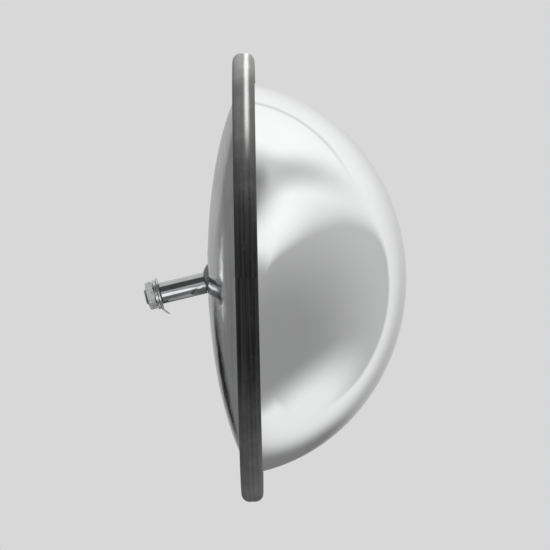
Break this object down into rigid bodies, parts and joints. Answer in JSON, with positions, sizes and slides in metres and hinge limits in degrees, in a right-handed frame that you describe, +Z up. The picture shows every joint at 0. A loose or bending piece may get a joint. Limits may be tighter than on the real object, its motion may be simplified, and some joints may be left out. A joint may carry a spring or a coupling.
{
  "type": "convex traffic mirror",
  "caption": "Round half-dome convex mirror in a rubber rim with a metal back shell, held by a short arm through a clamped ball joint and fastened by a threaded stud.",
  "frame": {"origin": "centre of the arm tube's rear seat, on the arm's axis, where a bracket plate is clamped", "axes": "+Z up, -Y the way the mirror faces, +X to the right when looking along +Y; the arm leans back and 12.3 degrees down in the YZ plane"},
  "size_m": [0.45, 0.264, 0.45],
  "materials": {
    "mirror_face": "clear mirror with a faint haze",
    "shell_metal": "polished, lightly spun",
    "rim_rubber": "satin black, slightly dusty",
    "arm_chrome": "bright plated",
    "zinc_steel": "zinc plated",
    "socket_steel": "pressed, plain",
    "nylon": "natural"
  },
  "bodies": {
    "arm": {"ball": "arm_chrome", "arm_tube": "arm_chrome", "arm_stud": "zinc_steel", "tab_washer": "zinc_steel", "flat_washer": "zinc_steel", "jam_nut": "zinc_steel"},
    "thrust_liner": {"thrust_cup": "nylon"},
    "seat_liner": {"seat_ring": "nylon"},
    "mirror_head": {"mirror_dome": "mirror_face", "back_shell": "shell_metal", "rim_gasket": "rim_rubber", "socket_ring": "socket_steel", "socket_cup": "socket_steel", "clamp_screw_1": "zinc_steel", "clamp_screw_2": "zinc_steel", "clamp_screw_3": "zinc_steel", "clamp_screw_4": "zinc_steel", "clamp_washer_1": "zinc_steel", "clamp_washer_2": "zinc_steel", "clamp_washer_3": "zinc_steel", "clamp_washer_4": "zinc_steel", "clamp_nut_1": "zinc_steel", "clamp_nut_2": "zinc_steel", "clamp_nut_3": "zinc_steel", "clamp_nut_4": "zinc_steel"}
  },
  "joints": [
    {"name": "head_pan", "type": "hinge", "parent": "arm", "child": "thrust_liner", "pos_m": [0, -0.06497, 0.01417], "axis": [0, 0, 1], "range_deg": [-10, 10]},
    {"name": "head_tilt", "type": "hinge", "parent": "thrust_liner", "child": "seat_liner", "pos_m": [0, -0.06497, 0.01417], "axis": [1, 0, 0], "range_deg": [-27, 3]},
    {"name": "head_spin", "type": "hinge", "parent": "seat_liner", "child": "mirror_head", "pos_m": [0, -0.06497, 0.01417], "axis": [0, 1, 0], "continuous": true}
  ]
}
